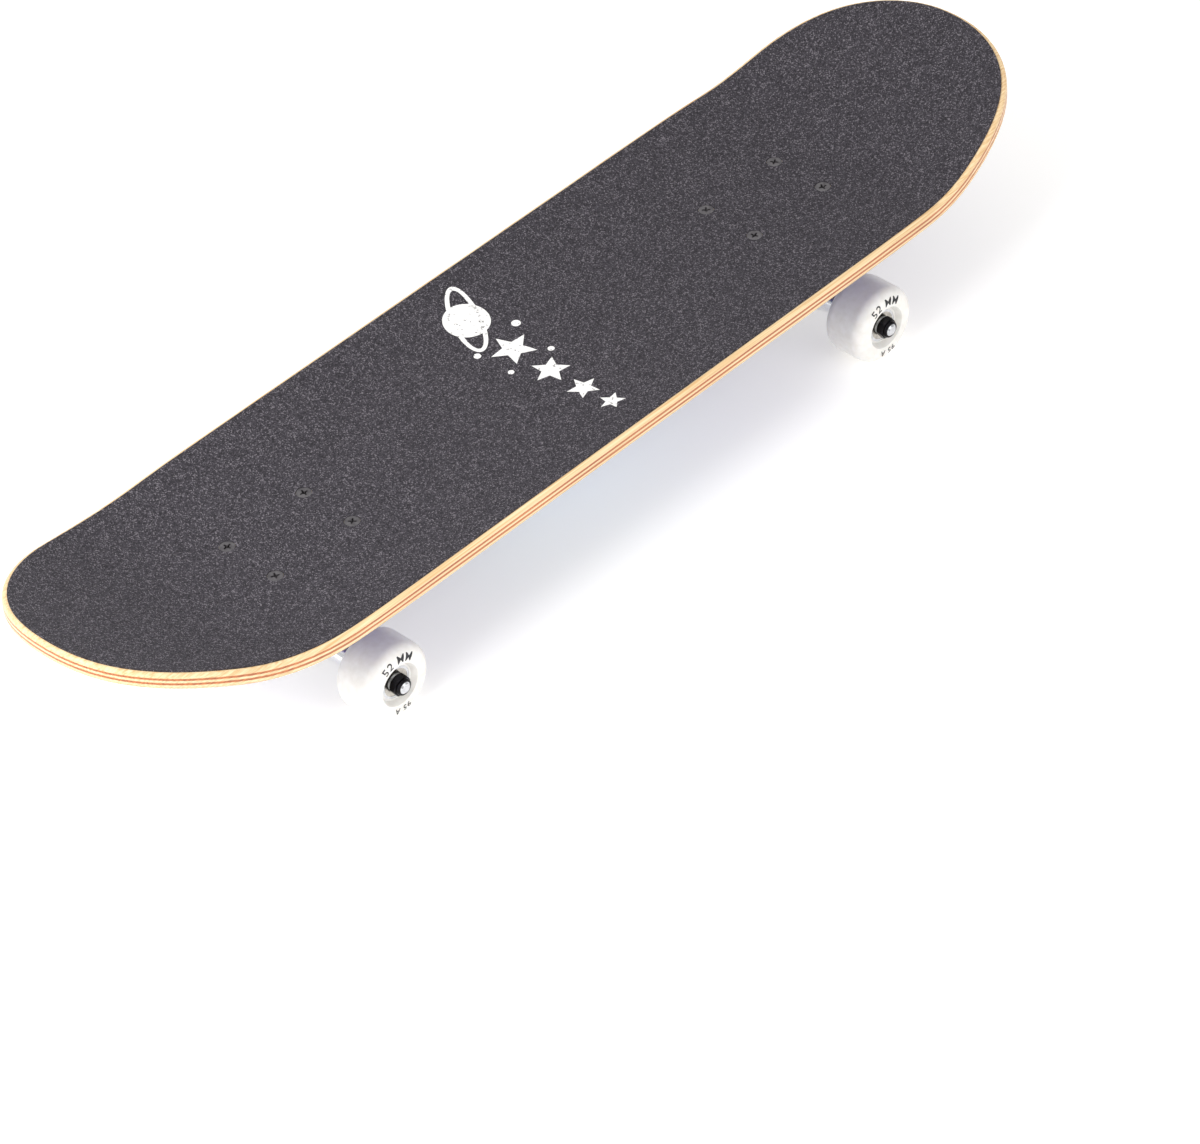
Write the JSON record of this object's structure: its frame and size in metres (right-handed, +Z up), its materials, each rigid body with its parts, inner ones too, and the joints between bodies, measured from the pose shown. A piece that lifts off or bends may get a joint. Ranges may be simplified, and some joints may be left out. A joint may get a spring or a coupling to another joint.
{
  "type": "skateboard",
  "caption": "Street skateboard: laminated maple deck with upturned nose and tail, grip tape, sprung steering trucks and free-spinning urethane wheels.",
  "frame": {"origin": "on the floor under the middle of the deck's length and width, the board standing on its wheels", "axes": "+X towards the nose, +Y to the left when facing the nose, +Z up"},
  "size_m": [0.794, 0.2, 0.1377],
  "materials": {
    "maple_light": "lacquered veneer",
    "maple_red": "dyed veneer",
    "bottom_print": "glossy printed veneer",
    "grip": "abrasive sheet",
    "zinc_steel": "zinc plated",
    "black_steel": "black oxide",
    "black_rubber": "moulded",
    "raw_cast": "tumbled casting",
    "polished_cast": "polished casting",
    "black_plastic": "moulded",
    "black_urethane": "cast urethane",
    "bright_steel": "ground",
    "white_urethane": "cast urethane",
    "dark_shield": "satin",
    "cage_plastic": "moulded"
  },
  "bodies": {
    "deck": {"deck_ply_1": "bottom_print", "deck_ply_2": "maple_red", "deck_ply_3": "maple_light", "deck_ply_4": "maple_red", "deck_ply_5": "maple_light", "deck_ply_6": "maple_red", "deck_ply_7": "maple_light", "grip_tape": "grip", "mounting_bolts": "zinc_steel", "mounting_nuts": "black_steel", "nose_riser_pad": "black_rubber", "nose_baseplate": "raw_cast", "nose_pivot_cup": "black_plastic", "nose_kingpin": "black_steel", "nose_lower_washer": "black_steel", "nose_lower_bushing": "black_urethane", "nose_upper_bushing": "black_urethane", "nose_upper_washer": "black_steel", "nose_kingpin_nut": "black_steel", "tail_riser_pad": "black_rubber", "tail_baseplate": "raw_cast", "tail_pivot_cup": "black_plastic", "tail_kingpin": "black_steel", "tail_lower_washer": "black_steel", "tail_lower_bushing": "black_urethane", "tail_upper_bushing": "black_urethane", "tail_upper_washer": "black_steel", "tail_kingpin_nut": "black_steel"},
    "nose_hanger": {"nose_hanger": "polished_cast", "nose_axle": "bright_steel", "nose_speed_washers": "zinc_steel", "nose_axle_nuts": "black_steel", "nose_bearing_spacers": "zinc_steel", "nose_bearing_inner_rings": "bright_steel"},
    "tail_hanger": {"tail_hanger": "polished_cast", "tail_axle": "bright_steel", "tail_speed_washers": "zinc_steel", "tail_axle_nuts": "black_steel", "tail_bearing_spacers": "zinc_steel", "tail_bearing_inner_rings": "bright_steel"},
    "nose_left_wheel": {"nose_left_wheel": "white_urethane", "nose_left_bearing_outer_rings": "bright_steel", "nose_left_bearing_shields": "dark_shield"},
    "nose_left_balls": {"nose_left_bearing_balls": "bright_steel", "nose_left_bearing_cages": "cage_plastic"},
    "nose_right_wheel": {"nose_right_wheel": "white_urethane", "nose_right_bearing_outer_rings": "bright_steel", "nose_right_bearing_shields": "dark_shield"},
    "nose_right_balls": {"nose_right_bearing_balls": "bright_steel", "nose_right_bearing_cages": "cage_plastic"},
    "tail_left_wheel": {"tail_left_wheel": "white_urethane", "tail_left_bearing_outer_rings": "bright_steel", "tail_left_bearing_shields": "dark_shield"},
    "tail_left_balls": {"tail_left_bearing_balls": "bright_steel", "tail_left_bearing_cages": "cage_plastic"},
    "tail_right_wheel": {"tail_right_wheel": "white_urethane", "tail_right_bearing_outer_rings": "bright_steel", "tail_right_bearing_shields": "dark_shield"},
    "tail_right_balls": {"tail_right_bearing_balls": "bright_steel", "tail_right_bearing_cages": "cage_plastic"}
  },
  "joints": [
    {"name": "nose_steer", "type": "hinge", "parent": "deck", "child": "nose_hanger", "pos_m": [0.19738, 0, 0.0389], "axis": [0.848, 0, 0.5299], "range_deg": [-12, 12], "stiffness_Nm_per_rad": 35, "deforming": ["nose_lower_bushing", "nose_upper_bushing"]},
    {"name": "tail_steer", "type": "hinge", "parent": "deck", "child": "tail_hanger", "pos_m": [-0.18738, 0, 0.0389], "axis": [-0.848, 0, 0.5299], "range_deg": [-12, 12], "stiffness_Nm_per_rad": 35, "deforming": ["tail_lower_bushing", "tail_upper_bushing"]},
    {"name": "nose_left_wheel_spin", "type": "hinge", "parent": "nose_hanger", "child": "nose_left_wheel", "pos_m": [0.2207, 0, 0.026], "axis": [0, 1, 0], "continuous": true},
    {"name": "nose_left_ball_spin", "type": "hinge", "parent": "nose_hanger", "child": "nose_left_balls", "pos_m": [0.2207, 0, 0.026], "axis": [0, 1, 0], "continuous": true},
    {"name": "nose_right_wheel_spin", "type": "hinge", "parent": "nose_hanger", "child": "nose_right_wheel", "pos_m": [0.2207, 0, 0.026], "axis": [0, 1, 0], "continuous": true},
    {"name": "nose_right_ball_spin", "type": "hinge", "parent": "nose_hanger", "child": "nose_right_balls", "pos_m": [0.2207, 0, 0.026], "axis": [0, 1, 0], "continuous": true},
    {"name": "tail_left_wheel_spin", "type": "hinge", "parent": "tail_hanger", "child": "tail_left_wheel", "pos_m": [-0.2107, 0, 0.026], "axis": [0, 1, 0], "continuous": true},
    {"name": "tail_left_ball_spin", "type": "hinge", "parent": "tail_hanger", "child": "tail_left_balls", "pos_m": [-0.2107, 0, 0.026], "axis": [0, 1, 0], "continuous": true},
    {"name": "tail_right_wheel_spin", "type": "hinge", "parent": "tail_hanger", "child": "tail_right_wheel", "pos_m": [-0.2107, 0, 0.026], "axis": [0, 1, 0], "continuous": true},
    {"name": "tail_right_ball_spin", "type": "hinge", "parent": "tail_hanger", "child": "tail_right_balls", "pos_m": [-0.2107, 0, 0.026], "axis": [0, 1, 0], "continuous": true}
  ],
  "couplings": [
    {"joint": "nose_left_ball_spin", "follows": "nose_left_wheel_spin", "ratio": 0.632},
    {"joint": "nose_right_ball_spin", "follows": "nose_right_wheel_spin", "ratio": 0.632},
    {"joint": "tail_left_ball_spin", "follows": "tail_left_wheel_spin", "ratio": 0.632},
    {"joint": "tail_right_ball_spin", "follows": "tail_right_wheel_spin", "ratio": 0.632}
  ]
}
